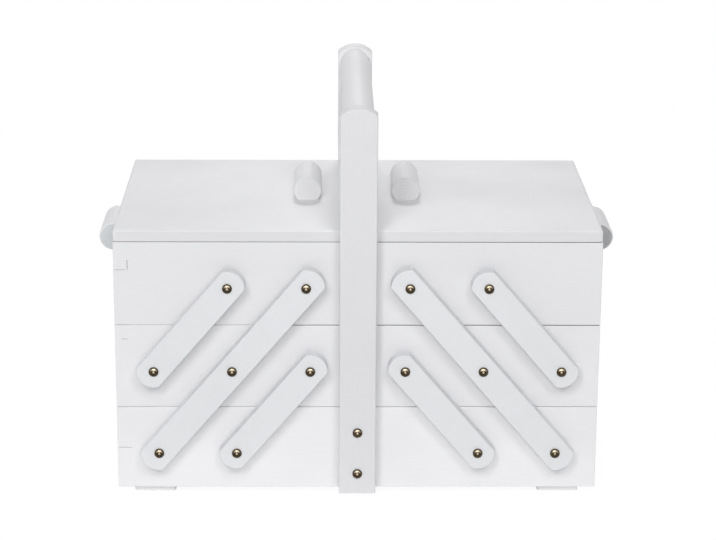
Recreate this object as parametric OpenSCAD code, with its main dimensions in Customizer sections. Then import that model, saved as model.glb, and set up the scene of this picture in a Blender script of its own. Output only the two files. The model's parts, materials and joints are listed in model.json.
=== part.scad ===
// Wooden sewing carrier. A bottom tray holds a fixed carrying handle. On each side
// a middle and a top tray swing out on cantilever arms, and each top tray has a lid.
// Lengths in millimetres. Origin at the middle of the base, front towards -Y, +Z up.

/* [Trays] */
// Width over the end walls
body_w = 420; // [380:2:480]
// Depth over the front and rear walls of the bottom tray
body_d = 250; // [225:5:300]
// Height of one tier, tray and seam together
tier_h = 75; // [65:1:95]
// Thickness of the tray walls
wall_t = 12; // [11:0.5:14]
// Seam above each tray
seam = 0.3; // [0.2:0.05:0.5]
// Gap between the left and the right trays, and between the lids
middle_gap = 1; // [0.6:0.2:2]
// Easing of the outer tray edges
tray_ease = 0.8; // [0.4:0.1:1.4]

/* [Corner joints] */
// Fingers in each corner joint
finger_count = 6; // [4:1:9]
// Glue gap round each finger
glue_gap = 0.1; // [0.05:0.05:0.2]

/* [Floors] */
// Thickness of the floor panels
floor_t = 4; // [3:0.5:6]
// Height of a floor over the lower edge of its tray
floor_up = 4; // [3:0.5:8]
// Depth of the groove that holds a floor
groove_d = 5; // [3:0.5:6]
// Play of a floor in its groove
floor_play = 0.1; // [0.05:0.05:0.3]

/* [Feet] */
// Height of the feet
foot_h = 6; // [4:0.5:10]
// Width and depth of a foot
foot_w = 36; // [28:1:44]
// Distance of the feet from the end walls
foot_end_gap = 14; // [8:1:20]
// Distance of the feet from the front and the rear
foot_front_gap = 6; // [4:1:20]
// Radius of a foot's corners
foot_corner_r = 3; // [1:0.5:5]

/* [Lids] */
// Gap under the lids
lid_gap = 0.5; // [0.3:0.05:0.8]
// Thickness of the lids
lid_t = 10; // [9:0.5:14]
// Easing of the upper lid edges
lid_ease = 2.2; // [1:0.1:3]
// Radius of the lid corners seen from above
lid_corner_r = 4; // [2:0.5:8]

/* [Grips] */
// Diameter of the rod that the knobs and side pulls are cut from
grip_d = 25; // [20:1:28]
// Distance from the rod's axis to the flat
grip_flat = 8; // [6:0.5:9]
// Length of each grip
grip_l = 62; // [50:1:80]
// Easing of the grip ends
grip_ease = 2; // [1:0.25:3]
// Distance of each lid knob from the middle
knob_x = 44; // [34:1:70]
// Set of the lid knobs behind the middle
knob_back = 8; // [0:1:20]
// Depth of the side pulls' axis below the rim of the top trays
pull_drop = 22.5; // [22:0.5:40]

/* [Cantilever arms] */
// Gap between the upper arms and the face of the end wall, closed
arm_end_gap = 19; // [12:0.5:28]
// Gap between the lower arms and a post, closed
arm_post_gap = 10; // [4:0.5:16]
// Height of the pivots over the lower edge of their tray
pivot_up = 37.5; // [30:0.5:45]
// Sideways lean of an arm over one tier, closed
arm_lean = 64; // [50:1:70]
// Width of the arms
arm_w = 25; // [20:0.5:28]
// Thickness of the arms
arm_t = 12; // [8:0.5:14]
// Radius of the long arms' ends about their pivots
long_end_r = 16.5; // [15:0.5:20]
// Radius of the short arms' ends about their pivots
short_end_r = 15; // [14.5:0.5:18]
// Easing of the arm edges
arm_ease = 1.2; // [0.6:0.1:2]

/* [Pivot screws] */
// Diameter of the screw shanks
screw_d = 4; // [3:0.5:5]
// Diameter of the pan heads
head_d = 8.4; // [7:0.2:11]
// Height of the pan heads
head_h = 2.8; // [2:0.2:4]
// Straight rim below the dome of a pan head
head_rim = 1; // [0.6:0.1:1.6]
// Span of the cross recess
recess_w = 4.8; // [3:0.2:5.6]
// Slot width of the cross recess
recess_slot = 1.1; // [0.8:0.1:1.5]
// Depth of the cross recess
recess_deep = 1.4; // [0.8:0.1:1.8]
// Depth that a screw goes into a wall
screw_bite = 9; // [6:0.5:10]
// Length of the screw points
screw_point = 3; // [1.5:0.5:4]
// Thickness of the washers behind the arms
washer_t = 2.5; // [1.5:0.5:4]
// Diameter of the washers
washer_d = 10; // [8:0.5:14]
// Radial play of an arm on its screw
pivot_play = 0.05; // [0.02:0.01:0.08]
// Play of an arm along its screw, on each side
side_play = 0.05; // [0.03:0.01:0.1]
// Radial play of a screw or tenon in its own hole
seat_play = 0.02; // [0.01:0.01:0.05]

/* [Handle] */
// Width of the two posts
post_w = 32; // [28:1:36]
// Thickness of the posts
post_t = 15; // [12:0.5:18]
// Radius of the crown on a post
post_crown_r = 23; // [19:0.5:30]
// Easing of the post edges
post_ease = 1.5; // [0.5:0.1:2.5]
// Running gap between the posts and the upper trays
post_gap = 0.5; // [0.3:0.1:1]
// Distance between the two screws of a post
post_screw_pitch = 38; // [30:1:46]
// Diameter of the handle bar
bar_d = 28; // [24:1:30]
// Free height for the hand between the lids and the bar
hand_room = 79; // [60:1:110]
// Height of the crown over the bar
crown_over = 3; // [1.5:0.5:6]
// Diameter of the tenons on the bar
tenon_d = 16; // [12:0.5:20]
// Length of the tenons
tenon_l = 9; // [6:0.5:10]

/* [Lid hinges] */
// Length of a hinge
hinge_l = 30; // [20:1:36]
// Distance of each hinge from the middle of the lid
hinge_y = 74; // [60:1:80]
// Width of a hinge leaf from the axis
leaf_w = 10; // [7:0.5:10.5]
// Thickness of a hinge leaf
leaf_t = 1; // [0.8:0.1:1.5]
// Diameter of the knuckles
knuckle_d = 4.6; // [4:0.1:5.4]
// Gap between neighbouring knuckles
knuckle_gap = 0.2; // [0.1:0.05:0.4]
// Diameter of the hinge pins
hinge_pin_d = 1.8; // [1.2:0.1:2.2]
// Radial play of a pin in its knuckles
hinge_play = 0.05; // [0.02:0.01:0.08]
// Distance of the hinge axis outside the end wall
hinge_out = 0.3; // [0.2:0.1:0.8]
// Room round the knuckles in the wood
knuckle_room = 0.3; // [0.2:0.1:0.6]
// Play of a leaf in its recess
leaf_play = 0.05; // [0.02:0.01:0.1]

/* [Hidden] */

$fn = 64;
more = 1; // overshoot of a cut
white_paint = [0.93, 0.93, 0.92];
old_brass = [0.62, 0.53, 0.36];
hinge_brass = [0.78, 0.65, 0.36];

half_w = body_w / 2;
bottom_half_d = body_d / 2;
upper_half_d = body_d / 2 - post_gap;
lid_z = foot_h + 3 * tier_h;
lid_top = lid_z + lid_t;
bar_z = lid_top + hand_room + bar_d / 2;
post_top = bar_z + bar_d / 2 + crown_over;
arm_face = bottom_half_d + washer_t + side_play;
head_face = arm_face + arm_t + side_play;
arm_reach = norm([arm_lean, tier_h]);
arm_angle = atan2(tier_h, -arm_lean);
outer_pivot_x = half_w - arm_end_gap - short_end_r;
inner_pivot_x = post_w / 2 + arm_post_gap + short_end_r;
pivot_spacing = (outer_pivot_x - inner_pivot_x) / 2;
hinge_x = half_w + hinge_out;
hinge_z = lid_z - lid_gap / 2;
knuckle_l = (hinge_l - 2 * knuckle_gap) / 3;

// Lower edge of a tray. Tier 0 is the bottom tray, 1 a middle tray, 2 a top tray.
function tray_z(tier) = foot_h + tier * tier_h;

// Height of a tray, which leaves a gap under the next tray or the lid
function tray_h(tier) = tier_h - (tier == 2 ? lid_gap : seam);

// Place of the long arm's pivot on each tier, to the right of the middle
function long_x(tier) = inner_pivot_x + pivot_spacing + (1 - tier) * arm_lean;

function pivot_z(tier) = tray_z(tier) + pivot_up;

// Every pivot on one face of a tray, from the outermost inwards
function tray_pivots(tier) =
    tier == 0 ? [long_x(0), long_x(0) - pivot_spacing]
    : tier == 1 ? [long_x(1) + pivot_spacing, long_x(1), long_x(1) - pivot_spacing]
    : [long_x(2) + pivot_spacing, long_x(2)];

function front_of(tier) = tier == 0 ? bottom_half_d : upper_half_d;

function inner_x(tier) = tier == 0 ? -half_w : middle_gap / 2;

// Mirrored copies

module to_left() {
    mirror([1, 0, 0]) children();
}

module to_rear() {
    mirror([0, 1, 0]) children();
}

module front_and_rear() {
    children();
    to_rear() children();
}

// Basic forms

module box(low, high) {
    translate(low) cube(high - low);
}

// Rectangle with rounded corners
module soft_rect(low, high, r) {
    translate([low.x + r, low.y]) square([high.x - low.x - 2 * r, high.y - low.y]);
    translate([low.x, low.y + r]) square([high.x - low.x, high.y - low.y - 2 * r]);
    for (x = [low.x + r, high.x - r], y = [low.y + r, high.y - r])
        translate([x, y]) circle(r);
}

// Rectangle with only its two upper corners rounded
module crowned_rect(low, high, r) {
    square_h = high.y - low.y - r;
    translate(low) square([high.x - low.x, square_h]);
    translate([low.x + r, low.y]) square([high.x - low.x - 2 * r, square_h + r]);
    for (x = [low.x + r, high.x - r]) translate([x, high.y - r]) circle(r);
}

// A drawing in X and Z, extruded along Y
module along_y(from, to) {
    translate([0, to, 0]) rotate([90, 0, 0]) linear_extrude(to - from) children();
}

// A drawing in Y and Z, extruded along X
module along_x(from, to) {
    translate([from, 0, 0]) rotate([90, 0, 90]) linear_extrude(to - from) children();
}

// Disc with an eased rim at both faces
module eased_disc(r, thick, ease) {
    rotate_extrude() {
        square([r - ease, thick]);
        translate([0, ease]) square([r, thick - 2 * ease]);
        for (z = [ease, thick - ease]) translate([r - ease, z]) circle(ease);
    }
}

// Flat bar with eased edges, from x = 0 to x = len, its back on z = 0. The far end is
// round about x = len, and so is the near end about x = 0 where near_round is true.
module round_ended_bar(len, width, thick, end_r, ease, near_round) {
    start = near_round ? -end_r : 0;
    intersection() {
        along_x(start, len + end_r)
            soft_rect([-width / 2, 0], [width / 2, thick], ease);
        union() {
            box([0, -width, 0], [len, width, thick]);
            for (x = near_round ? [0, len] : [len])
                translate([x, 0, 0]) eased_disc(end_r, thick, ease);
        }
    }
}

// Trays

// Sanded outer form of a tray
module tray_block(tier) {
    x0 = inner_x(tier);
    y0 = front_of(tier);
    z0 = tray_z(tier);
    z1 = z0 + tray_h(tier);
    intersection() {
        translate([0, 0, z0]) linear_extrude(tray_h(tier))
            soft_rect([x0, -y0], [half_w, y0], tray_ease);
        along_y(-y0, y0) soft_rect([x0, z0], [half_w, z1], tray_ease);
        along_x(x0, half_w) soft_rect([-y0, z0], [y0, z1], tray_ease);
    }
}

// True for the rows of a corner joint that belong to the front and rear walls
function is_long_row(i) = (finger_count - 1 - i) % 2 == 0;

// The fingers of one wall in one corner
module fingers(tier, low, high, long_rows) {
    row_h = tray_h(tier) / finger_count;
    for (i = [0 : finger_count - 1])
        if (is_long_row(i) == long_rows)
            box([low.x, low.y, tray_z(tier) + (i == 0 ? 0 : i * row_h + glue_gap / 2)],
                [high.x, high.y, tray_z(tier)
                    + (i == finger_count - 1 ? tray_h(tier) : (i + 1) * row_h - glue_gap / 2)]);
}

module floor_panel(tier, play) {
    reach = groove_d + play;
    box([inner_x(tier) + wall_t - reach, -front_of(tier) + wall_t - reach,
            tray_z(tier) + floor_up - play],
        [half_w - wall_t + reach, front_of(tier) - wall_t + reach,
            tray_z(tier) + floor_up + floor_t + play]);
}

// Screw holes in the front face of a tray
module pivot_holes(tier) {
    for (x = tray_pivots(tier))
        translate([x, -front_of(tier) + screw_bite + seat_play, pivot_z(tier)])
            rotate([90, 0, 0])
                cylinder(h = screw_bite + more, d = screw_d + 2 * seat_play);
}

module tray_front_wall(tier) {
    x0 = inner_x(tier);
    y0 = -front_of(tier);
    z0 = tray_z(tier);
    overlap = wall_t + 2 * glue_gap;
    difference() {
        intersection() {
            tray_block(tier);
            union() {
                box([x0 + wall_t + glue_gap, y0, z0],
                    [half_w - wall_t - glue_gap, y0 + wall_t, z0 + tray_h(tier)]);
                fingers(tier, [x0, y0], [x0 + overlap, y0 + wall_t], true);
                fingers(tier, [half_w - overlap, y0], [half_w, y0 + wall_t], true);
            }
        }
        floor_panel(tier, floor_play);
        pivot_holes(tier);
        if (tier == 0) to_left() pivot_holes(tier);
    }
}

module tray_outer_end(tier) {
    y1 = front_of(tier);
    z0 = tray_z(tier);
    x0 = half_w - wall_t;
    overlap = wall_t + 2 * glue_gap;
    difference() {
        intersection() {
            tray_block(tier);
            union() {
                box([x0, -y1 + wall_t + glue_gap, z0],
                    [half_w, y1 - wall_t - glue_gap, z0 + tray_h(tier)]);
                fingers(tier, [x0, -y1], [half_w, -y1 + overlap], false);
                fingers(tier, [x0, y1 - overlap], [half_w, y1], false);
            }
        }
        floor_panel(tier, floor_play);
        if (tier == 2) at_hinges() tray_leaf_recess();
    }
}

// The inner end is the outer end's mirror image in the tray's own middle
module tray_inner_end(tier) {
    y1 = front_of(tier);
    z0 = tray_z(tier);
    x0 = inner_x(tier);
    overlap = wall_t + 2 * glue_gap;
    difference() {
        intersection() {
            tray_block(tier);
            union() {
                box([x0, -y1 + wall_t + glue_gap, z0],
                    [x0 + wall_t, y1 - wall_t - glue_gap, z0 + tray_h(tier)]);
                fingers(tier, [x0, -y1], [x0 + wall_t, -y1 + overlap], false);
                fingers(tier, [x0, y1 - overlap], [x0 + wall_t, y1], false);
            }
        }
        floor_panel(tier, floor_play);
    }
}

// Screws and washers

// Cross recess from its bottom on z = 0, twice as high as it is deep in the head
module cross_recess() {
    intersection() {
        cylinder(h = 2 * recess_deep, d1 = recess_w / 2, d2 = 3 * recess_w / 2);
        for (turn = [0, 90]) rotate([0, 0, turn])
            box([-recess_w, -recess_slot / 2, 0], [recess_w, recess_slot / 2, 2 * recess_deep]);
    }
}

// Screw with its head standing on z = 0 and its shank below
module pan_screw(shank_l) {
    dome_r = (pow(head_d / 2, 2) + pow(head_h - head_rim, 2)) / (2 * (head_h - head_rim));
    difference() {
        rotate_extrude() intersection() {
            square([head_d / 2, head_h]);
            translate([0, head_h - dome_r]) circle(dome_r, $fn = 96);
        }
        translate([0, 0, head_h - recess_deep]) cross_recess();
    }
    translate([0, 0, screw_point - shank_l])
        cylinder(h = shank_l - screw_point, d = screw_d);
    translate([0, 0, -shank_l])
        cylinder(h = screw_point, d1 = screw_d / 4, d2 = screw_d);
}

// One arm screw at the origin of a tray's face, pointing into the wall
module arm_screw(tier) {
    face = front_of(tier);
    translate([0, -head_face, 0]) rotate([90, 0, 0])
        pan_screw(head_face - face + screw_bite);
    translate([0, -face, 0]) rotate([90, 0, 0]) difference() {
        cylinder(h = arm_face - side_play - face, d = washer_d);
        translate([0, 0, -more]) cylinder(h = washer_t + 4 * more, d = screw_d + 2 * pivot_play);
    }
}

module tray_pivot_screws(tier) {
    front_and_rear() for (x = tray_pivots(tier))
        translate([x, 0, pivot_z(tier)]) arm_screw(tier);
}

// Cantilever arms

// Arm in front of the trays, from a pivot on one tier over some tiers
module arm(x, tier, tiers) {
    len = tiers * arm_reach;
    end_r = tiers > 1 ? long_end_r : short_end_r;
    translate([x, -arm_face, pivot_z(tier)]) rotate([90, 0, 0])
        rotate([0, 0, arm_angle]) difference() {
            round_ended_bar(len, arm_w, arm_t, end_r, arm_ease, true);
            for (i = [0 : tiers])
                translate([i * arm_reach, 0, -more])
                    cylinder(h = arm_t + 2 * more, d = screw_d + 2 * pivot_play);
        }
}

module long_arm() {
    color(white_paint) arm(long_x(0), 0, 2);
}

module upper_arm() {
    color(white_paint) arm(long_x(1) + pivot_spacing, 1, 1);
}

module lower_arm() {
    color(white_paint) arm(long_x(0) - pivot_spacing, 0, 1);
}

// Lids, grips and hinges

module lid_panel() {
    x0 = middle_gap / 2;
    intersection() {
        translate([0, 0, lid_z]) linear_extrude(lid_t)
            soft_rect([x0, -upper_half_d], [half_w, upper_half_d], lid_corner_r);
        along_y(-upper_half_d, upper_half_d)
            crowned_rect([x0, lid_z], [half_w, lid_top], lid_ease);
        along_x(x0, half_w)
            crowned_rect([-upper_half_d, lid_z], [upper_half_d, lid_top], lid_ease);
    }
}

// Piece of round rod along Y with its flat on z = 0
module grip() {
    difference() {
        translate([0, grip_l / 2, grip_flat]) rotate([90, 0, 0])
            eased_disc(grip_d / 2, grip_l, grip_ease);
        box([-grip_d, -grip_l, -grip_d], [grip_d, grip_l, 0]);
    }
}

module at_hinges() {
    for (side = [-1, 1]) translate([hinge_x, side * hinge_y, hinge_z]) children();
}

// Round bar on the hinge axis, from y to y + len
module axis_rod(y, len, d) {
    translate([0, y + len, 0]) rotate([90, 0, 0]) cylinder(h = len, d = d, $fn = 48);
}

// Leaf of a hinge, above the axis where up is 1 and below it where up is -1.
// Its knuckles are the listed thirds of the hinge.
module hinge_leaf(up, mine, others) {
    low = up > 0 ? lid_gap / 2 : -lid_gap / 2 - leaf_t;
    pitch = knuckle_l + knuckle_gap;
    difference() {
        union() {
            difference() {
                box([-leaf_w, -hinge_l / 2, low], [0, hinge_l / 2, low + leaf_t]);
                for (i = others)
                    axis_rod(-hinge_l / 2 + i * pitch - knuckle_gap,
                        knuckle_l + 2 * knuckle_gap, knuckle_d + 2 * knuckle_room);
            }
            for (i = mine) axis_rod(-hinge_l / 2 + i * pitch, knuckle_l, knuckle_d);
        }
        axis_rod(-hinge_l, 2 * hinge_l, hinge_pin_d + 2 * hinge_play);
    }
}

// Room for a leaf and the barrel in the wood
module leaf_recess(low, high) {
    half_l = hinge_l / 2 + leaf_play;
    box([-leaf_w - leaf_play, -half_l, low], [more, half_l, high]);
    axis_rod(-hinge_l / 2 - knuckle_room, hinge_l + 2 * knuckle_room,
        knuckle_d + 2 * knuckle_room);
}

module tray_leaf_recess() {
    leaf_recess(-lid_gap / 2 - leaf_t - leaf_play, more);
}

module lid_leaf_recess() {
    leaf_recess(-more, lid_gap / 2 + leaf_t + leaf_play);
}

// Handle

module post() {
    crown_z = post_top - post_crown_r;
    difference() {
        translate([0, -bottom_half_d, foot_h]) rotate([90, 0, 0]) rotate([0, 0, 90])
            round_ended_bar(crown_z - foot_h, post_w, post_t, post_crown_r, post_ease, false);
        translate([0, -bottom_half_d + more, bar_z]) rotate([90, 0, 0])
            cylinder(h = tenon_l + seat_play + more, d = tenon_d + 2 * seat_play);
        at_post_screws()
            cylinder(h = 2 * post_t + more, d = screw_d + 2 * seat_play, center = true);
    }
}

// Places of the post screws on the outer face of the front post, heads outwards
module at_post_screws() {
    for (up = [-1, 1])
        translate([0, -bottom_half_d - post_t,
                tray_z(0) + tier_h / 2 + up * post_screw_pitch / 2])
            rotate([90, 0, 0]) children();
}

module bar_with_tenons() {
    along_y(-bottom_half_d, bottom_half_d) translate([0, bar_z]) circle(d = bar_d);
    along_y(-bottom_half_d - tenon_l, bottom_half_d + tenon_l)
        translate([0, bar_z]) circle(d = tenon_d);
}

// Pad under the front wall, rebated so that its inner part reaches the floor panel
module foot() {
    x1 = half_w - foot_end_gap;
    y0 = -bottom_half_d + foot_front_gap;
    linear_extrude(foot_h) soft_rect([x1 - foot_w, y0], [x1, y0 + foot_w], foot_corner_r);
    box([x1 - foot_w, -bottom_half_d + wall_t + glue_gap, foot_h / 2],
        [min(x1, half_w - wall_t - glue_gap), y0 + foot_w, foot_h + floor_up]);
}

// Sub-parts: bottom tray and handle

module bottom_front_wall() {
    color(white_paint) difference() {
        tray_front_wall(0);
        at_post_screws()
            cylinder(h = 2 * (post_t + screw_bite + seat_play), d = screw_d + 2 * seat_play,
                center = true);
    }
}

module bottom_rear_wall() {
    to_rear() bottom_front_wall();
}

module bottom_right_end() {
    color(white_paint) tray_outer_end(0);
}

module bottom_left_end() {
    to_left() bottom_right_end();
}

module bottom_floor() {
    color(white_paint) floor_panel(0, 0);
}

module feet() {
    color(white_paint) front_and_rear() {
        foot();
        to_left() foot();
    }
}

module front_post() {
    color(white_paint) post();
}

module rear_post() {
    to_rear() front_post();
}

module handle_bar() {
    color(white_paint) bar_with_tenons();
}

module post_screws() {
    color(old_brass) front_and_rear() at_post_screws() pan_screw(post_t + screw_bite);
}

module bottom_pivot_screws() {
    color(old_brass) {
        tray_pivot_screws(0);
        to_left() tray_pivot_screws(0);
    }
}

// Sub-parts: middle trays

module right_mid_front_wall() {
    color(white_paint) tray_front_wall(1);
}

module right_mid_rear_wall() {
    to_rear() right_mid_front_wall();
}

module right_mid_outer_end() {
    color(white_paint) tray_outer_end(1);
}

module right_mid_inner_end() {
    color(white_paint) tray_inner_end(1);
}

module right_mid_floor() {
    color(white_paint) floor_panel(1, 0);
}

module right_mid_pivot_screws() {
    color(old_brass) tray_pivot_screws(1);
}

module left_mid_front_wall() {
    to_left() right_mid_front_wall();
}

module left_mid_rear_wall() {
    to_left() right_mid_rear_wall();
}

module left_mid_outer_end() {
    to_left() right_mid_outer_end();
}

module left_mid_inner_end() {
    to_left() right_mid_inner_end();
}

module left_mid_floor() {
    to_left() right_mid_floor();
}

module left_mid_pivot_screws() {
    to_left() right_mid_pivot_screws();
}

// Sub-parts: top trays

module right_top_front_wall() {
    color(white_paint) tray_front_wall(2);
}

module right_top_rear_wall() {
    to_rear() right_top_front_wall();
}

module right_top_outer_end() {
    color(white_paint) tray_outer_end(2);
}

module right_top_inner_end() {
    color(white_paint) tray_inner_end(2);
}

module right_top_floor() {
    color(white_paint) floor_panel(2, 0);
}

module right_top_pivot_screws() {
    color(old_brass) tray_pivot_screws(2);
}

module right_side_pull() {
    color(white_paint) translate([half_w, 0, lid_z - pull_drop]) rotate([0, 90, 0]) grip();
}

module right_hinge_tray_leaves() {
    color(hinge_brass) at_hinges() hinge_leaf(-1, [0, 2], [1]);
}

module right_hinge_pins() {
    color(hinge_brass) at_hinges() axis_rod(-hinge_l / 2, hinge_l, hinge_pin_d);
}

module left_top_front_wall() {
    to_left() right_top_front_wall();
}

module left_top_rear_wall() {
    to_left() right_top_rear_wall();
}

module left_top_outer_end() {
    to_left() right_top_outer_end();
}

module left_top_inner_end() {
    to_left() right_top_inner_end();
}

module left_top_floor() {
    to_left() right_top_floor();
}

module left_top_pivot_screws() {
    to_left() right_top_pivot_screws();
}

module left_side_pull() {
    to_left() right_side_pull();
}

module left_hinge_tray_leaves() {
    to_left() right_hinge_tray_leaves();
}

module left_hinge_pins() {
    to_left() right_hinge_pins();
}

// Sub-parts: lids

module right_lid() {
    color(white_paint) difference() {
        lid_panel();
        at_hinges() lid_leaf_recess();
    }
}

module right_lid_knob() {
    color(white_paint) translate([knob_x, knob_back, lid_top]) grip();
}

module right_hinge_lid_leaves() {
    color(hinge_brass) at_hinges() hinge_leaf(1, [1], [0, 2]);
}

module left_lid() {
    to_left() right_lid();
}

module left_lid_knob() {
    to_left() right_lid_knob();
}

module left_hinge_lid_leaves() {
    to_left() right_hinge_lid_leaves();
}

// Sub-parts: cantilever arms

module right_front_long_arm() {
    long_arm();
}

module right_rear_long_arm() {
    to_rear() long_arm();
}

module right_front_upper_arm() {
    upper_arm();
}

module right_rear_upper_arm() {
    to_rear() upper_arm();
}

module right_front_lower_arm() {
    lower_arm();
}

module right_rear_lower_arm() {
    to_rear() lower_arm();
}

module left_front_long_arm() {
    to_left() right_front_long_arm();
}

module left_rear_long_arm() {
    to_left() right_rear_long_arm();
}

module left_front_upper_arm() {
    to_left() right_front_upper_arm();
}

module left_rear_upper_arm() {
    to_left() right_rear_upper_arm();
}

module left_front_lower_arm() {
    to_left() right_front_lower_arm();
}

module left_rear_lower_arm() {
    to_left() right_rear_lower_arm();
}

bottom_front_wall();
bottom_rear_wall();
bottom_left_end();
bottom_right_end();
bottom_floor();
feet();
front_post();
rear_post();
handle_bar();
post_screws();
bottom_pivot_screws();
left_mid_front_wall();
left_mid_rear_wall();
left_mid_outer_end();
left_mid_inner_end();
left_mid_floor();
left_mid_pivot_screws();
right_mid_front_wall();
right_mid_rear_wall();
right_mid_outer_end();
right_mid_inner_end();
right_mid_floor();
right_mid_pivot_screws();
left_top_front_wall();
left_top_rear_wall();
left_top_outer_end();
left_top_inner_end();
left_top_floor();
left_top_pivot_screws();
left_side_pull();
left_hinge_tray_leaves();
left_hinge_pins();
right_top_front_wall();
right_top_rear_wall();
right_top_outer_end();
right_top_inner_end();
right_top_floor();
right_top_pivot_screws();
right_side_pull();
right_hinge_tray_leaves();
right_hinge_pins();
left_lid();
left_lid_knob();
left_hinge_lid_leaves();
right_lid();
right_lid_knob();
right_hinge_lid_leaves();
left_front_long_arm();
left_rear_long_arm();
left_front_upper_arm();
left_rear_upper_arm();
left_front_lower_arm();
left_rear_lower_arm();
right_front_long_arm();
right_rear_long_arm();
right_front_upper_arm();
right_rear_upper_arm();
right_front_lower_arm();
right_rear_lower_arm();
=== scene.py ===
"""Looks of a white-painted wooden sewing carrier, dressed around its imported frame."""

import json
import math
import random

import bmesh
import bpy
from mathutils import Matrix, Vector


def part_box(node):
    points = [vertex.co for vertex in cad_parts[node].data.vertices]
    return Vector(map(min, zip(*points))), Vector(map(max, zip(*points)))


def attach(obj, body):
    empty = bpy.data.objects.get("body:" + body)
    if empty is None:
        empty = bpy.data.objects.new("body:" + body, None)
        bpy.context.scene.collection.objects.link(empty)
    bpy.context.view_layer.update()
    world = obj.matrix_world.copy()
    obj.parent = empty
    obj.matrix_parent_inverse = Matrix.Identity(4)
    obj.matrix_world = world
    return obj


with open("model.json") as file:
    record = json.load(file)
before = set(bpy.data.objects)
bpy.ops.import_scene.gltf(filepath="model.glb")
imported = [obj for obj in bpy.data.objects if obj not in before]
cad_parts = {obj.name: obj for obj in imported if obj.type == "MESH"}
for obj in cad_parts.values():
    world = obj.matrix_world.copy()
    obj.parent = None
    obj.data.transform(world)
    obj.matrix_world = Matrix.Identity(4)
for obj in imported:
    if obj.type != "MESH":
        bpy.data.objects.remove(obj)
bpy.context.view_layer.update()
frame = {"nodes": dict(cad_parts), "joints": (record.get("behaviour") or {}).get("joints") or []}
NODES = frame["nodes"]

# The photograph's frame and the camera fitted to it, in pixels, metres and degrees
PHOTO_W = 716
FOCAL_PX = 2307.6
CAMERA_AT = Vector((-0.0298, -2.0202, 0.7780))
CAMERA_PITCH = 16.795
CAMERA_YAW = -0.898
CAMERA_ROLL = 0.331
SENSOR_MM = 36.0
MM_PER_M = 1000

# Finger joints, in millimetres: rows, walls, glue gap, eased corners, and the paint in the
# gaps with half its thickness and how far it lies below the faces
FINGERS = 6
WALL = 12.0
GAP = 0.1
EASE = 0.8
PAINT_HALF = 0.045
PAINT_DEPTH = (0.03, 0.08)
PAINT_SEED = 7
# Open stretches of joint in the front left corners, in millimetres on each front wall:
# tray, x and height above the tray's lower edge, both as from and to. Their dirt and painted
# shade reach from a little before the front face to a little behind it.
OPEN_JOINTS = (("left_top_tray", (-198.15, -197.75), (49.9, 58.6)),
               ("left_top_tray", (-208.6, -199.6), (49.5, 49.8)),
               ("left_mid_tray", (-204.0, -199.0), (62.1, 62.4)),
               ("bottom_tray", (-208.8, -197.0), (37.2, 37.5)))
OPEN_JOINT_Y = (-0.02, 0.2)
# What lies in the seams at the front: the tray below, x from and to, and how high and deep.
# It starts a little behind the front face.
SEAM_PAINT = (("left_mid_tray", (-197.0, -152.0), 0.25, 1.6),
              ("left_mid_tray", (-152.0, -84.0), 0.15, 1.6),
              ("bottom_tray", (-206.0, -18.0), 0.2, 1.6),
              ("bottom_tray", (18.0, 70.0), 0.15, 1.6))
# Dark strips in some seams stand for the shade in the gaps: painted shade
SEAM_SHADE = (("left_mid_tray", (-60.0, 0.0), 0.06, 0.4),
             ("right_mid_tray", (0.0, 209.0), 0.06, 0.7),
             ("left_top_tray", (-209.0, 0.0), 0.06, 0.25),
             ("right_top_tray", (0.0, 209.0), 0.06, 1.0))
SEAM_SETBACK = 0.1

# Directions
UP = (0, 0, 1)
DOWN = (0, 0, -1)
TO_LEFT = (-1, 0, 0)
TO_REAR = (0, 1, 0)

# Small screws in millimetres on the right: body, slot, places, what the head faces, and the
# head's radius and height
TRAY_RIM_Z = 230.5
LID_UNDERSIDE_Z = 231.0
HINGE_SCREW_X = 204.2
HINGE_SCREW_YS = (-83.5, -64.5, 64.5, 83.5)
KNOB_SCREW_X = 44.0
KNOB_SCREW_YS = (-10.0, 26.0)
INNER_FACE_X = 198.0
PULL_SCREW_YS = (-17.0, 17.0)
PULL_SCREW_Z = 208.5
HINGE_HEAD = (2.1, 0.2)
GRIP_HEAD = (3.4, 2.0)
SMALL_SCREWS = {
    "hinge_tray_screws": ("top_tray", "hinge_brass",
                          [(HINGE_SCREW_X, y, TRAY_RIM_Z) for y in HINGE_SCREW_YS],
                          UP, HINGE_HEAD),
    "hinge_lid_screws": ("lid_body", "hinge_brass",
                         [(HINGE_SCREW_X, y, LID_UNDERSIDE_Z) for y in HINGE_SCREW_YS],
                         DOWN, HINGE_HEAD),
    "knob_screws": ("lid_body", "screw_brass",
                    [(KNOB_SCREW_X, y, LID_UNDERSIDE_Z) for y in KNOB_SCREW_YS],
                    DOWN, GRIP_HEAD),
    "pull_screws": ("top_tray", "screw_brass",
                    [(INNER_FACE_X, y, PULL_SCREW_Z) for y in PULL_SCREW_YS],
                    TO_LEFT, GRIP_HEAD)}

# Each tray's front wall and its left or outer end
TRAYS = {"bottom_tray": ("bottom_front_wall", "bottom_left_end")}
for side in ("left", "right"):
    for tier in ("mid", "top"):
        tray = side + "_" + tier
        TRAYS[tray + "_tray"] = (tray + "_front_wall", tray + "_outer_end")

# Lamps: turn from the front and height above the floor in degrees, size in metres and power.
# All are turned to one point, and stand equally far from it.
LIT_POINT = Vector((0, 0, 0.17))
LAMP_FAR = 2.6
LAMPS = {"front_low_left": (-18, 22, 0.6, 5.6),
         "front_low": (0, 22, 0.6, 8.4),
         "front_left": (-18, 34, 0.6, 12.4),
         "front_right": (18, 34, 0.6, 10.6),
         "front_high": (0, 50, 1.2, 4.5),
         "left_side": (-95, 12, 1.3, 11.0),
         "right_side": (95, 12, 1.3, 7.5),
         "back": (180, 45, 0.7, 22.0)}
WORLD_LIGHT = 0.17
WORLD_COLOUR = (0.985, 0.99, 1.0)
WHITE = (1, 1, 1)

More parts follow.
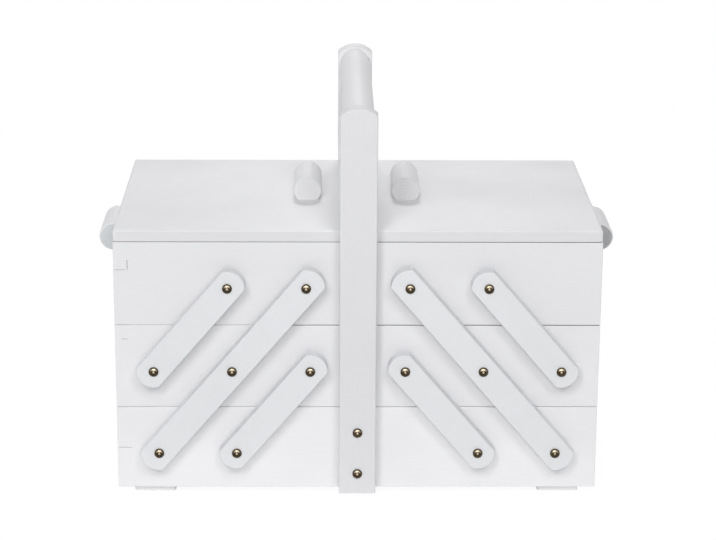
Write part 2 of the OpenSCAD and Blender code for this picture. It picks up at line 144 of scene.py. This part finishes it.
# The floor, in metres: half its size, half of what the object covers, and how far outside
# that its glow starts, the glow fades out, and the shadow fades out
FLOOR_HALF = 9.0
FLOOR_COLOUR = (0.86, 0.86, 0.86)
FOOTPRINT = (0.19, 0.112, 0)
GLOW_START = (0.0, 0.012)
GLOW_FADE = (0.02, 0.28)
SHADOW_FADE = (0.25, 1.2)
GLOW_POWER = 0.25
# The share of plain white in the floor that is seen beside the object, and the brightness
# that makes it white together with the part of it that is lit
WHITE_SHARE = 0.86
SHADED_WHITE = 1.07

# Paint and metal colours, as linear values
PAINT = (0.85, 0.85, 0.865)
# Each tier's paint is darker towards the top tray: painted shade, for light that grows towards
# the floor
TIER_SHADED_PAINT = {"top": (0.81, 0.81, 0.822), "mid": (0.83, 0.83, 0.845), "bottom": PAINT}
PAINT_WEAR = 0.89
# The lid's front and rear edges: painted shade, darker than the lid's top
LID_EDGE_SHADE = (0.75, 0.75, 0.765)
ARM_PAINT = (0.785, 0.792, 0.81)
# The front post's paint, darker than the rear post's as painted shade
FRONT_POST_SHADE = (0.75, 0.75, 0.765)
# Dark colour for dirt and painted shade in joints and seams
DARK_DIRT_AND_SHADE = (0.10, 0.09, 0.08)
BRONZE = (0.028, 0.022, 0.014)
BRONZE_WORN = (0.095, 0.07, 0.04)
BRONZE_WEAR_AND_HIGHLIGHT = (0.66, 0.56, 0.42)
BRASS = (0.34, 0.26, 0.15)
BRASS_BRIGHT = (0.60, 0.49, 0.30)

# Painted wood: roughness, gloss and relief, and how much pores and handling grey and dull it
PAINT_ROUGHNESS = 0.52
PAINT_SPECULAR = 0.42
PAINT_RELIEF = 0.10
PAINT_RELIEF_M = 0.0006
PAINT_UNEVENNESS = 0.6
PAINT_PATCH_SCALE = 11.0
STREAK_GREY = 0.16
PATCH_GREY = 0.22
PATCH_DULL = 0.14
END_DULL = 0.2

# Grain, handling marks and growth rings: the scales of their noises, and where they show
GRAIN_STRETCH = (0.045, 1.0, 1.0)
PORE_SCALE = 900.0
RING_SCALE = 160.0
RING_RELIEF = 0.8
BRUSH_SCALE = 34.0
PORE_LEVEL = 0.62
PORE_CONTRAST = 3.0
PATCH_LEVEL = 0.42
PATCH_CONTRAST = 3.2
PATCH_ROUGHNESS = 0.62
END_FACING = (0.86, 0.97)
END_RING_SCALE = 110.0
END_RING_WAVER = 2.2

# Brass: the scales of its noises, its roughness and relief, and how level and how far turned
# up the dome of a screw's head is where it gets a painted highlight
TARNISH_SCALE = 700.0
TARNISH_LEVEL = 0.36
TARNISH_CONTRAST = 3.4
TARNISH_DULL = 0.25
SCRATCH_SCALE = 5200.0
SCRATCH_RELIEF = 0.15
SCRATCH_RELIEF_M = 0.00002
SCREW_ROUGHNESS = 0.2
HINGE_ROUGHNESS = 0.28
ARC_OUTSIDE = (0.80, 0.85)
ARC_INSIDE = (0.90, 0.95)
ARC_UPWARD = (0.1, 0.35)
ARC_HIGHLIGHT = 0.5
FLAT_LEVEL = 0.98
# Flat faces nearer to the middle than this, in metres, are the floors of the recesses
RECESS_FLOOR_Y = 0.1417

# Dirt and painted shade: its specks, how much lighter they are, and its roughness
SPECK_SCALE = 900.0
SPECK_LIGHTER = 1.9
SHADE_AND_DIRT_ROUGHNESS = 0.85

# A small screw's head: half its slots' width, its rim and the rings of its dome, as shares of
# its radius and height, and the points round it and in each quarter
SLOT_SHARE = 0.13
RIM_SHARE = 0.3
DOME = ((1.0, 0.28), (1.0, 0.55), (0.9, 0.85), (0.66, 1.0))
RIM_POINTS = 24
QUARTER_POINTS = 6

# Lean of the closed arms from the horizontal, from the frame's own pivots
JOINTS = {j["name"]: j for j in frame["joints"]}
LOW_PIVOT = Vector(JOINTS["right_trays_open"]["pos_m"])
HIGH_PIVOT = Vector(JOINTS["right_top_tray_level"]["pos_m"])
ARM_LEAN = math.atan2(HIGH_PIVOT.z - LOW_PIVOT.z, LOW_PIVOT.x - HIGH_PIVOT.x)


# Small node builders

def add_math(tree, operation, a, b=None, clamp=False):
    """A Math node on two values or sockets. Returns its output."""
    node = tree.nodes.new("ShaderNodeMath")
    node.operation = operation
    node.use_clamp = clamp
    for socket, value in ((node.inputs[0], a), (node.inputs[1], b)):
        if isinstance(value, (int, float)):
            socket.default_value = value
        elif value is not None:
            tree.links.new(value, socket)
    return node.outputs[0]


def add_vector_math(tree, operation, a, b=None):
    """A Vector Math node on a socket and a socket or plain vector. Returns its output."""
    node = tree.nodes.new("ShaderNodeVectorMath")
    node.operation = operation
    tree.links.new(a, node.inputs[0])
    if isinstance(b, tuple):
        node.inputs[1].default_value = b
    elif b is not None:
        tree.links.new(b, node.inputs[1])
    return node.outputs["Value" if operation in ("LENGTH", "DOT_PRODUCT") else "Vector"]


def add_ramp(tree, value, start, end, low, high):
    """A smooth step from low to high while the value goes from start to end."""
    node = tree.nodes.new("ShaderNodeMapRange")
    node.interpolation_type = "SMOOTHSTEP"
    for socket, number in (("From Min", start), ("From Max", end), ("To Min", low),
                           ("To Max", high)):
        node.inputs[socket].default_value = number
    tree.links.new(value, node.inputs["Value"])
    return node.outputs["Result"]


# Camera, light and floor

def add_camera():
    """A camera at the place, angle and focal length of the photograph."""
    pitch, yaw, roll = (math.radians(a) for a in (CAMERA_PITCH, CAMERA_YAW, CAMERA_ROLL))
    ahead = Vector((-math.sin(yaw) * math.cos(pitch), math.cos(yaw) * math.cos(pitch),
                    -math.sin(pitch)))
    right = Vector((math.cos(yaw), math.sin(yaw), 0))
    up = right.cross(ahead)
    side = right * math.cos(roll) + up * math.sin(roll)
    top = up * math.cos(roll) - right * math.sin(roll)
    turned = Matrix((side, top, -ahead)).transposed().to_4x4()
    data = bpy.data.cameras.new("camera")
    data.sensor_width = SENSOR_MM
    data.lens = FOCAL_PX / PHOTO_W * SENSOR_MM
    camera = bpy.data.objects.new("camera", data)
    camera.matrix_world = Matrix.Translation(CAMERA_AT) @ turned
    bpy.context.collection.objects.link(camera)
    bpy.context.scene.camera = camera


def add_softbox(name, turn, height, size, power):
    """A soft square lamp that lights the object and is not seen itself."""
    turn, height = math.radians(turn), math.radians(height)
    ahead = Vector((math.cos(height) * math.sin(turn), -math.cos(height) * math.cos(turn),
                    math.sin(height)))
    data = bpy.data.lights.new(name, "AREA")
    data.shape = "SQUARE"
    data.size = size
    data.energy = power
    lamp = bpy.data.objects.new(name, data)
    lamp.visible_camera = False
    lamp.location = LIT_POINT + ahead * LAMP_FAR
    lamp.rotation_euler = (-ahead).to_track_quat("-Z", "Y").to_euler()
    bpy.context.collection.objects.link(lamp)


def seen_rays(tree):
    """A value that is 1 for what the eye, a reflection or a glass sees, and 0 for light."""
    rays = tree.nodes.new("ShaderNodeLightPath").outputs
    direct = add_math(tree, "MAXIMUM", rays["Is Camera Ray"], rays["Is Glossy Ray"])
    return add_math(tree, "MAXIMUM", direct, rays["Is Transmission Ray"])


def add_world():
    """White where it is seen, and a plain soft light on the object."""
    world = bpy.data.worlds.new("studio")
    bpy.context.scene.world = world
    world.use_nodes = True
    nodes, links = world.node_tree.nodes, world.node_tree.links
    nodes.clear()
    lit = nodes.new("ShaderNodeBackground")
    lit.inputs["Color"].default_value = (*WORLD_COLOUR, 1)
    lit.inputs["Strength"].default_value = WORLD_LIGHT
    white = nodes.new("ShaderNodeBackground")
    white.inputs["Color"].default_value = (*WHITE, 1)
    white.inputs["Strength"].default_value = 1.0
    mix = nodes.new("ShaderNodeMixShader")
    out = nodes.new("ShaderNodeOutputWorld")
    links.new(seen_rays(world.node_tree), mix.inputs["Fac"])
    links.new(lit.outputs[0], mix.inputs[1])
    links.new(white.outputs[0], mix.inputs[2])
    links.new(mix.outputs[0], out.inputs["Surface"])


def add_floor():
    """A white floor with a faint shadow, which throws light up on the object beside it."""
    mesh = bpy.data.meshes.new("floor")
    corners = [(x, y, 0) for x, y in ((-1, -1), (1, -1), (1, 1), (-1, 1))]
    mesh.from_pydata([Vector(c) * FLOOR_HALF for c in corners], [], [(0, 1, 2, 3)])
    floor = bpy.data.objects.new("floor", mesh)
    bpy.context.collection.objects.link(floor)
    material = bpy.data.materials.new("floor_white")
    material.use_nodes = True
    tree = material.node_tree
    nodes, links = tree.nodes, tree.links
    nodes.clear()
    place = nodes.new("ShaderNodeTexCoord").outputs["Object"]
    seen = seen_rays(tree)

    from_middle = add_vector_math(tree, "ABSOLUTE", place)
    outside = add_vector_math(tree, "SUBTRACT", from_middle, FOOTPRINT)
    beyond = add_vector_math(tree, "MAXIMUM", outside, (0, 0, 0))
    away = add_vector_math(tree, "LENGTH", beyond)
    uncovered = add_ramp(tree, away, *GLOW_START, 0.0, 1.0)
    near = add_ramp(tree, away, *GLOW_FADE, GLOW_POWER, 0.0)
    unseen = add_math(tree, "SUBTRACT", 1.0, seen)
    glow_now = add_math(tree, "MULTIPLY", add_math(tree, "MULTIPLY", uncovered, near), unseen)
    glow = nodes.new("ShaderNodeEmission")
    links.new(glow_now, glow.inputs["Strength"])
    matt = nodes.new("ShaderNodeBsdfDiffuse")
    matt.inputs["Color"].default_value = (*FLOOR_COLOUR, 1)
    lit = nodes.new("ShaderNodeAddShader")
    links.new(matt.outputs[0], lit.inputs[0])
    links.new(glow.outputs[0], lit.inputs[1])

    share = add_ramp(tree, away, *SHADOW_FADE, WHITE_SHARE, 1.0)
    strength = add_ramp(tree, away, *SHADOW_FADE, SHADED_WHITE, 1.0)
    white = nodes.new("ShaderNodeEmission")
    links.new(strength, white.inputs["Strength"])
    mix = nodes.new("ShaderNodeMixShader")
    links.new(add_math(tree, "MULTIPLY", seen, share), mix.inputs["Fac"])
    links.new(lit.outputs[0], mix.inputs[1])
    links.new(white.outputs[0], mix.inputs[2])
    out = nodes.new("ShaderNodeOutputMaterial")
    links.new(mix.outputs[0], out.inputs["Surface"])
    mesh.materials.append(material)


# Shared effects, each a node group

def new_group(name, inputs, outputs):
    """An empty node group with the named sockets. Inputs are (name, kind, value)."""
    group = bpy.data.node_groups.new(name, "ShaderNodeTree")
    for socket, kind, value in inputs:
        made = group.interface.new_socket(name=socket, in_out="INPUT", socket_type=kind)
        if value is not None:
            made.default_value = value
    for socket, kind in outputs:
        group.interface.new_socket(name=socket, in_out="OUTPUT", socket_type=kind)
    start = group.nodes.new("NodeGroupInput")
    end = group.nodes.new("NodeGroupOutput")
    return group, start, end


def add_noise(tree, vector, scale, detail, roughness=0.5):
    """A noise texture on a vector. Returns its value."""
    node = tree.nodes.new("ShaderNodeTexNoise")
    node.inputs["Scale"].default_value = scale
    node.inputs["Detail"].default_value = detail
    node.inputs["Roughness"].default_value = roughness
    tree.links.new(vector, node.inputs["Vector"])
    return node.outputs["Fac"]


def grain_group():
    """Grain that runs along X of its vector, as it shows through a coat of paint."""
    group, start, end = new_group(
        "grain_under_paint",
        [("Vector", "NodeSocketVector", None), ("Pore Depth", "NodeSocketFloat", 1.0),
         ("Unevenness", "NodeSocketFloat", 1.0)],
        [("Height", "NodeSocketFloat"), ("Streak", "NodeSocketFloat")])
    stretch = group.nodes.new("ShaderNodeVectorMath")
    stretch.operation = "MULTIPLY"
    stretch.inputs[1].default_value = GRAIN_STRETCH
    group.links.new(start.outputs["Vector"], stretch.inputs[0])
    pores = add_noise(group, stretch.outputs[0], PORE_SCALE, 3.0, 0.6)
    rings = add_noise(group, stretch.outputs[0], RING_SCALE, 2.0)
    brushed = add_noise(group, start.outputs["Vector"], BRUSH_SCALE, 3.0)
    pore_h = add_math(group, "MULTIPLY", pores, start.outputs["Pore Depth"])
    ring_h = add_math(group, "MULTIPLY", rings, RING_RELIEF)
    coat_h = add_math(group, "MULTIPLY", brushed, start.outputs["Unevenness"])
    wood_h = add_math(group, "ADD", pore_h, ring_h)
    group.links.new(add_math(group, "ADD", wood_h, coat_h), end.inputs["Height"])
    deep = add_math(group, "SUBTRACT", PORE_LEVEL, pores)
    streak = add_math(group, "MULTIPLY", deep, PORE_CONTRAST, clamp=True)
    group.links.new(streak, end.inputs["Streak"])
    return group


def handling_group():
    """Soft patches, for paint that handling has greyed and dulled, or for specks."""
    group, start, end = new_group(
        "handling_marks",
        [("Vector", "NodeSocketVector", None), ("Patch Scale", "NodeSocketFloat", 9.0)],
        [("Mask", "NodeSocketFloat")])
    noise = group.nodes.new("ShaderNodeTexNoise")
    noise.inputs["Detail"].default_value = 5.0
    noise.inputs["Roughness"].default_value = PATCH_ROUGHNESS
    group.links.new(start.outputs["Vector"], noise.inputs["Vector"])
    group.links.new(start.outputs["Patch Scale"], noise.inputs["Scale"])
    lifted = add_math(group, "SUBTRACT", noise.outputs["Fac"], PATCH_LEVEL)
    mask = add_math(group, "MULTIPLY", lifted, PATCH_CONTRAST, clamp=True)
    group.links.new(mask, end.inputs["Mask"])
    return group


def end_grain_group():
    """Growth rings on the ends of a rod that lies along Y, and where those ends are."""
    group, start, end = new_group(
        "end_grain",
        [("Vector", "NodeSocketVector", None), ("Normal", "NodeSocketVector", None),
         ("Pith", "NodeSocketVector", None)],
        [("End", "NodeSocketFloat"), ("Rings", "NodeSocketFloat")])
    facing = add_vector_math(group, "DOT_PRODUCT", start.outputs["Normal"], TO_REAR)
    flat = add_ramp(group, add_math(group, "ABSOLUTE", facing), *END_FACING, 0.0, 1.0)
    group.links.new(flat, end.inputs["End"])
    from_middle = add_vector_math(group, "ABSOLUTE", start.outputs["Vector"])
    from_pith = add_vector_math(group, "SUBTRACT", from_middle, start.outputs["Pith"])
    wave = group.nodes.new("ShaderNodeTexWave")
    wave.wave_type = "RINGS"
    wave.rings_direction = "Y"
    wave.inputs["Scale"].default_value = END_RING_SCALE
    wave.inputs["Distortion"].default_value = END_RING_WAVER
    wave.inputs["Detail"].default_value = 2.0
    group.links.new(from_pith, wave.inputs["Vector"])
    group.links.new(wave.outputs["Fac"], end.inputs["Rings"])
    return group


def tarnish_group():
    """Dull patches, fine scratches, and the parts of a screw's head painted bright: a painted
    highlight in an arc on the upper side of its dome, and the worn floor of its recess."""
    group, start, end = new_group(
        "brass_tarnish",
        [("Vector", "NodeSocketVector", None), ("Normal", "NodeSocketVector", None)],
        [("Mask", "NodeSocketFloat"), ("Wear And Highlight", "NodeSocketFloat"),
         ("Height", "NodeSocketFloat")])
    patches = add_noise(group, start.outputs["Vector"], TARNISH_SCALE, 4.0, 0.65)
    scratches = add_noise(group, start.outputs["Vector"], SCRATCH_SCALE, 2.0)
    lifted = add_math(group, "SUBTRACT", patches, TARNISH_LEVEL)
    mask = add_math(group, "MULTIPLY", lifted, TARNISH_CONTRAST, clamp=True)
    group.links.new(mask, end.inputs["Mask"])
    facing = add_vector_math(group, "DOT_PRODUCT", start.outputs["Normal"], TO_REAR)
    level = add_math(group, "ABSOLUTE", facing)
    # A painted highlight: an arc on the upper side of a screw's dome
    outer = add_ramp(group, level, *ARC_OUTSIDE, 0.0, 1.0)
    inner = add_ramp(group, level, *ARC_INSIDE, 1.0, 0.0)
    upward = add_vector_math(group, "DOT_PRODUCT", start.outputs["Normal"], UP)
    above = add_ramp(group, upward, *ARC_UPWARD, 0.0, ARC_HIGHLIGHT)
    arc = add_math(group, "MULTIPLY", add_math(group, "MULTIPLY", outer, inner), above)
    flat = add_math(group, "GREATER_THAN", level, FLAT_LEVEL)
    place = group.nodes.new("ShaderNodeSeparateXYZ")
    group.links.new(start.outputs["Vector"], place.inputs[0])
    sunk = add_math(group, "LESS_THAN", add_math(group, "ABSOLUTE", place.outputs["Y"]),
                    RECESS_FLOOR_Y)
    recess = add_math(group, "MULTIPLY", flat, sunk)
    group.links.new(add_math(group, "MAXIMUM", arc, recess), end.inputs["Wear And Highlight"])
    group.links.new(scratches, end.inputs["Height"])
    return group


GRAIN = grain_group()
END_GRAIN = end_grain_group()
HANDLING = handling_group()
TARNISH = tarnish_group()


# Materials

def new_material(name):
    """A material, its nodes, its Principled shader, and the object's own place and normal."""
    material = bpy.data.materials.new(name)
    material.use_nodes = True
    tree = material.node_tree
    shader = tree.nodes["Principled BSDF"]
    place = tree.nodes.new("ShaderNodeTexCoord")
    return material, tree, shader, place.outputs["Object"], place.outputs["Normal"]


def place_group(tree, group, vector, **values):
    """A group in a material, on a vector, with its own values."""
    node = tree.nodes.new("ShaderNodeGroup")
    node.node_tree = group
    tree.links.new(vector, node.inputs["Vector"])
    for socket, value in values.items():
        node.inputs[socket.replace("_", " ")].default_value = value
    return node


def mix_colour(tree, mask, low, high):
    """A mix of two colours, each a colour or a socket, by a mask."""
    node = tree.nodes.new("ShaderNodeMix")
    node.data_type = "RGBA"
    tree.links.new(mask, node.inputs["Factor"])
    for socket, colour in ((node.inputs[6], low), (node.inputs[7], high)):
        if isinstance(colour, tuple):
            socket.default_value = (*colour, 1)
        else:
            tree.links.new(colour, socket)
    return node.outputs[2]


def add_bump(tree, shader, height, strength, distance):
    """Relief on a shader from a height."""
    bump = tree.nodes.new("ShaderNodeBump")
    bump.inputs["Strength"].default_value = strength
    bump.inputs["Distance"].default_value = distance
    tree.links.new(height, bump.inputs["Height"])
    tree.links.new(bump.outputs["Normal"], shader.inputs["Normal"])


def painted_wood(name, turn, tint=PAINT, pore_depth=1.0, ends=None):
    """Satin white paint on wood. turn takes the grain's direction to X, as Euler angles.
    ends is, for a rod or board along Y, its ends' colour, its pith's place and how dark
    the growth rings are."""
    material, tree, shader, place, normal = new_material(name)
    shade = tuple(c * PAINT_WEAR for c in tint)
    along = tree.nodes.new("ShaderNodeMapping")
    along.inputs["Rotation"].default_value = turn
    tree.links.new(place, along.inputs["Vector"])
    grain = place_group(tree, GRAIN, along.outputs[0], Pore_Depth=pore_depth,
                        Unevenness=PAINT_UNEVENNESS)
    marks = place_group(tree, HANDLING, place, Patch_Scale=PAINT_PATCH_SCALE)
    faint = add_math(tree, "MULTIPLY", grain.outputs["Streak"], STREAK_GREY * pore_depth)
    patch = add_math(tree, "MULTIPLY", marks.outputs["Mask"], PATCH_GREY)
    grey = add_math(tree, "ADD", faint, patch, clamp=True)
    colour = mix_colour(tree, grey, tint, shade)
    dull = add_math(tree, "MULTIPLY", marks.outputs["Mask"], PATCH_DULL)
    if ends:
        end_tint, pith, ring_share = ends
        grain_end = place_group(tree, END_GRAIN, place, Pith=pith)
        tree.links.new(normal, grain_end.inputs["Normal"])
        ring = tuple(c * ring_share for c in end_tint)
        ringed = mix_colour(tree, grain_end.outputs["Rings"], ring, end_tint)
        colour = mix_colour(tree, grain_end.outputs["End"], colour, ringed)
        rougher = add_math(tree, "MULTIPLY", grain_end.outputs["End"], END_DULL)
        dull = add_math(tree, "ADD", dull, rougher)
    tree.links.new(colour, shader.inputs["Base Color"])
    tree.links.new(add_math(tree, "ADD", dull, PAINT_ROUGHNESS), shader.inputs["Roughness"])
    shader.inputs["Specular IOR Level"].default_value = PAINT_SPECULAR
    add_bump(tree, shader, grain.outputs["Height"], PAINT_RELIEF, PAINT_RELIEF_M)
    return material


def aged_brass(name, wear_and_highlight, bright, dull, roughness):
    """Brass from bright to dull in patches, with wear in some places and painted highlights in
    others.
    """
    material, tree, shader, place, normal = new_material(name)
    tarnish = place_group(tree, TARNISH, place)
    tree.links.new(normal, tarnish.inputs["Normal"])
    patchy = mix_colour(tree, tarnish.outputs["Mask"], bright, dull)
    tree.links.new(mix_colour(tree, tarnish.outputs["Wear And Highlight"], patchy, wear_and_highlight),
                   shader.inputs["Base Color"])
    rough = add_math(tree, "MULTIPLY", tarnish.outputs["Mask"], TARNISH_DULL)
    tree.links.new(add_math(tree, "ADD", rough, roughness), shader.inputs["Roughness"])
    shader.inputs["Metallic"].default_value = 1.0
    add_bump(tree, shader, tarnish.outputs["Height"], SCRATCH_RELIEF, SCRATCH_RELIEF_M)
    return material


def joint_shade_and_dirt(name):
    """Dust and dried glue in an open joint, dark also as painted shade of the crack; the same
    dark material paints the shade in the seams.
    """
    material, tree, shader, place, _ = new_material(name)
    specks = place_group(tree, HANDLING, place, Patch_Scale=SPECK_SCALE)
    lighter = tuple(c * SPECK_LIGHTER for c in DARK_DIRT_AND_SHADE)
    tree.links.new(mix_colour(tree, specks.outputs["Mask"], DARK_DIRT_AND_SHADE, lighter),
                   shader.inputs["Base Color"])
    shader.inputs["Roughness"].default_value = SHADE_AND_DIRT_ROUGHNESS
    return material


# The screws' domes get a painted highlight in the wear colour
SCREW_METAL = aged_brass("screw_brass", BRONZE_WEAR_AND_HIGHLIGHT, BRONZE_WORN, BRONZE, SCREW_ROUGHNESS)
HINGE_METAL = aged_brass("hinge_brass", BRASS_BRIGHT, BRASS_BRIGHT, BRASS, HINGE_ROUGHNESS)

# The ends of each side's knob and pull: their paint and how little the growth rings darken
# it, and the place of their rods' piths. The pulls' end paint is painted shade as well as end
# grain, darkest on the right.
GRIP_END_TONES_AND_SHADE = {"left": (((0.86, 0.86, 0.87), 0.985), ((0.68, 0.70, 0.725), 0.97)),
             "right": (((0.85, 0.85, 0.86), 0.95), ((0.455, 0.46, 0.47), 0.9))}
KNOB_PITH = (0.041, 0, 0.243)
PULL_PITH = (0.213, 0, 0.203)

QUARTER = math.pi / 2
LONG_GRAIN = (0, 0, 0)
DEEP_GRAIN = (0, 0, -QUARTER)
UPRIGHT_GRAIN = (0, QUARTER, 0)


def dress(material, names):
    """Gives the named nodes one material."""
    for name in names:
        for slot in NODES[name].material_slots:
            slot.material = material


def named(*endings):
    """The nodes whose names end so."""
    return sorted(n for n in NODES if n.endswith(endings))


def dress_frame():
    """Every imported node's finish, with the grain along its board."""
    # The walls and ends of each tier take its paint, with painted shade darkening the upper
    # tiers
    for tier, tint in TIER_SHADED_PAINT.items():
        walls = [n for n in named("front_wall", "rear_wall") if tier in n]
        dress(painted_wood(tier + "_wall_tier_shade", LONG_GRAIN, tint), walls)
        ends = [n for n in named("_end") if tier in n]
        dress(painted_wood(tier + "_end_tier_shade", DEEP_GRAIN, tint), ends)
    dress(painted_wood("floor_paint", LONG_GRAIN, pore_depth=0.6), named("floor"))
    dress(painted_wood("foot_paint", LONG_GRAIN), ["feet"])
    # The lid's front and rear edges carry painted shade through the ends' colour
    dress(painted_wood("lid_paint", LONG_GRAIN, ends=(LID_EDGE_SHADE, KNOB_PITH, 1.0)),
          named("_lid"))
    # The front post is painted darker than the rear post: painted shade
    dress(painted_wood("front_post_shaded_paint", UPRIGHT_GRAIN, FRONT_POST_SHADE), ["front_post"])
    dress(painted_wood("rear_post_paint", UPRIGHT_GRAIN), ["rear_post"])
    dress(painted_wood("bar_paint", DEEP_GRAIN), ["handle_bar"])
    for side, sign in (("left", -1), ("right", 1)):
        (knob_tint, knob_rings), (pull_end_tone_and_shade, pull_rings) = GRIP_END_TONES_AND_SHADE[side]
        knob_paint = painted_wood(side + "_knob_paint", DEEP_GRAIN,
                                  ends=(knob_tint, KNOB_PITH, knob_rings))
        dress(knob_paint, [side + "_lid_knob"])
        # The pull's end is darkened by end grain and by painted shade
        pull_paint = painted_wood(side + "_pull_end_shaded_paint", DEEP_GRAIN,
                                  ends=(pull_end_tone_and_shade, PULL_PITH, pull_rings))
        dress(pull_paint, [side + "_side_pull"])
        lean = (0, sign * ARM_LEAN, 0)
        arms = [n for n in named("_arm") if n.startswith(side)]
        dress(painted_wood(side + "_arm_paint", lean, ARM_PAINT), arms)
    dress(SCREW_METAL, named("screws"))
    dress(HINGE_METAL, named("leaves", "pins"))


# Paint, dirt and painted shade in the joints, and small screws

def add_loft(bm, rings):
    """A solid through rings of (x, y, z) points, each with as many, closed at both ends."""
    made = [[bm.verts.new(point) for point in ring] for ring in rings]
    bm.faces.new(made[0])
    bm.faces.new(made[-1])
    for low, high in zip(made, made[1:]):
        for i in range(len(low)):
            bm.faces.new((low[i - 1], low[i], high[i], high[i - 1]))


def add_block(bm, low, high):
    """A box between two corners."""
    (x0, y0, z0), (x1, y1, z1) = low, high
    outline = ((x0, y0), (x1, y0), (x1, y1), (x0, y1))
    add_loft(bm, [[(x, y, z) for x, y in outline] for z in (z0, z1)])


def make_piece(name, build, material, body):
    """A piece from a function that fills a mesh in millimetres. It rides on a body."""
    bm = bmesh.new()
    build(bm)
    bmesh.ops.recalc_face_normals(bm, faces=bm.faces)
    bmesh.ops.scale(bm, vec=(1 / MM_PER_M,) * 3, verts=bm.verts)
    mesh = bpy.data.meshes.new(name)
    bm.to_mesh(mesh)
    bm.free()
    mesh.materials.append(material)
    piece = bpy.data.objects.new(name, mesh)
    bpy.context.collection.objects.link(piece)
    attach(piece, body)


def box_mm(node):
    """A node's lowest and highest corners in millimetres."""
    return [[v * MM_PER_M for v in corner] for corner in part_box(node)]


def fill_corner(bm, corner, inward, base, height, chance):
    """Paint in the gaps of one corner's finger joint, a little below the faces."""
    (x, y), (dx, dy) = corner, inward
    row = height / FINGERS
    for i in range(1, FINGERS):
        deep = chance.uniform(*PAINT_DEPTH)
        cut = EASE + deep
        outline = [(x + dx * deep, y + dy * cut), (x + dx * cut, y + dy * deep),
                   (x + dx * WALL, y + dy * deep), (x + dx * WALL, y + dy * WALL),
                   (x + dx * deep, y + dy * WALL)]
        add_loft(bm, [[(px, py, base + i * row + z) for px, py in outline]
                      for z in (-PAINT_HALF, PAINT_HALF)])
    for i in range(FINGERS):
        deep = chance.uniform(*PAINT_DEPTH)
        low, high = base + i * row + GAP, base + (i + 1) * row - GAP
        near, far = WALL + GAP / 2 - PAINT_HALF, WALL + GAP / 2 + PAINT_HALF
        if (FINGERS - 1 - i) % 2:
            xs, ys = (x + dx * near, x + dx * far), (y + dy * deep, y + dy * (WALL - GAP))
        else:
            xs, ys = (x + dx * deep, x + dx * (WALL - GAP)), (y + dy * near, y + dy * far)
        add_block(bm, (min(xs), min(ys), low), (max(xs), max(ys), high))


def add_joint_paint():
    """Paint that has run into the finger joints of all five trays."""
    chance = random.Random(PAINT_SEED)
    paint = painted_wood("joint_paint", UPRIGHT_GRAIN)
    for tray, walls in TRAYS.items():
        low, high = box_mm(walls[0])
        end = box_mm(walls[1])
        base, height = low[2], high[2] - low[2]
        depth = end[1][1]

        def build(bm):
            for x, dx in ((low[0], 1), (high[0], -1)):
                for y, dy in ((-depth, 1), (depth, -1)):
                    fill_corner(bm, (x, y), (dx, dy), base, height, chance)
        make_piece(tray + "_joint_paint", build, paint, tray)


def fill_seams(name, fillings, material):
    """Strips on the trays' front rims, just behind the front face: paint, and dark strips of
    painted shade.
    """
    for i, (tray, (x0, x1), high, deep) in enumerate(fillings):
        low, top = box_mm(TRAYS[tray][0])
        start = max(x0, low[0] + EASE)
        stop = min(x1, top[0] - EASE)

        def build(bm):
            add_block(bm, (start, low[1] + SEAM_SETBACK, top[2]),
                      (stop, low[1] + deep, top[2] + high))
        make_piece(f"{tray}_{name}_{i + 1}", build, material, tray)


def add_open_joints(dirt):
    """Dirt and painted shade in the few stretches of joint that the paint has left open."""
    for i, (tray, (x0, x1), (z0, z1)) in enumerate(OPEN_JOINTS):
        low, _ = box_mm(TRAYS[tray][0])
        y0, y1 = (low[1] + y for y in OPEN_JOINT_Y)

        def build(bm):
            add_block(bm, (x0, y0, low[2] + z0), (x1, y1, low[2] + z1))
        make_piece(f"{tray}_open_joint_{i + 1}", build, dirt, tray)


def add_head(bm, at, facing, radius, height):
    """A low domed screw head with a cross in it, standing on a face."""
    turned = Vector(facing).to_track_quat("Z", "X").to_matrix().to_4x4()
    placed = Matrix.Translation(at) @ turned
    half_slot = radius * SLOT_SHARE
    first = math.asin(half_slot / radius)
    step = (QUARTER - 2 * first) / (QUARTER_POINTS - 1)

    def ring(points, z):
        return [placed @ Vector((x, y, z)) for x, y in points]

    around = [i * math.tau / RIM_POINTS for i in range(RIM_POINTS)]
    rim = [(radius * math.cos(a), radius * math.sin(a)) for a in around]
    add_loft(bm, [ring(rim, 0), ring(rim, height * RIM_SHARE)])
    for turn in range(4):
        start = turn * QUARTER
        corner = (half_slot * math.sqrt(2) * math.cos(start + QUARTER / 2),
                  half_slot * math.sqrt(2) * math.sin(start + QUARTER / 2))
        rings = []
        for share, z in DOME:
            arc = [start + first + i * step for i in range(QUARTER_POINTS)]
            points = [corner] + [(radius * share * math.cos(a), radius * share * math.sin(a))
                                 for a in arc]
            rings.append(ring(points, height * z))
        add_loft(bm, rings)


def add_small_screws():
    """The screws of the hinges, the knobs and the side pulls, inside and under the lids."""
    metals = {"hinge_brass": HINGE_METAL, "screw_brass": SCREW_METAL}
    for side, sign in (("left", -1), ("right", 1)):
        for name, (body, slot, places, (fx, fy, fz), head) in SMALL_SCREWS.items():
            def build(bm):
                for x, y, z in places:
                    add_head(bm, (sign * x, y, z), (sign * fx, fy, fz), *head)
            make_piece(f"{side}_{name}", build, metals[slot], f"{side}_{body}")


bpy.context.scene.view_settings.view_transform = "Standard"
add_camera()
add_world()
add_floor()
for lamp_name, values in LAMPS.items():
    add_softbox(lamp_name, *values)
dress_frame()
add_joint_paint()
fill_seams("seam_paint", SEAM_PAINT, painted_wood("seam_paint", LONG_GRAIN))
JOINT_SHADE_AND_DIRT = joint_shade_and_dirt("joint_shade_and_dirt")
# Dark strips in the seams: painted shade
fill_seams("seam_shade", SEAM_SHADE, JOINT_SHADE_AND_DIRT)
add_open_joints(JOINT_SHADE_AND_DIRT)
add_small_screws()
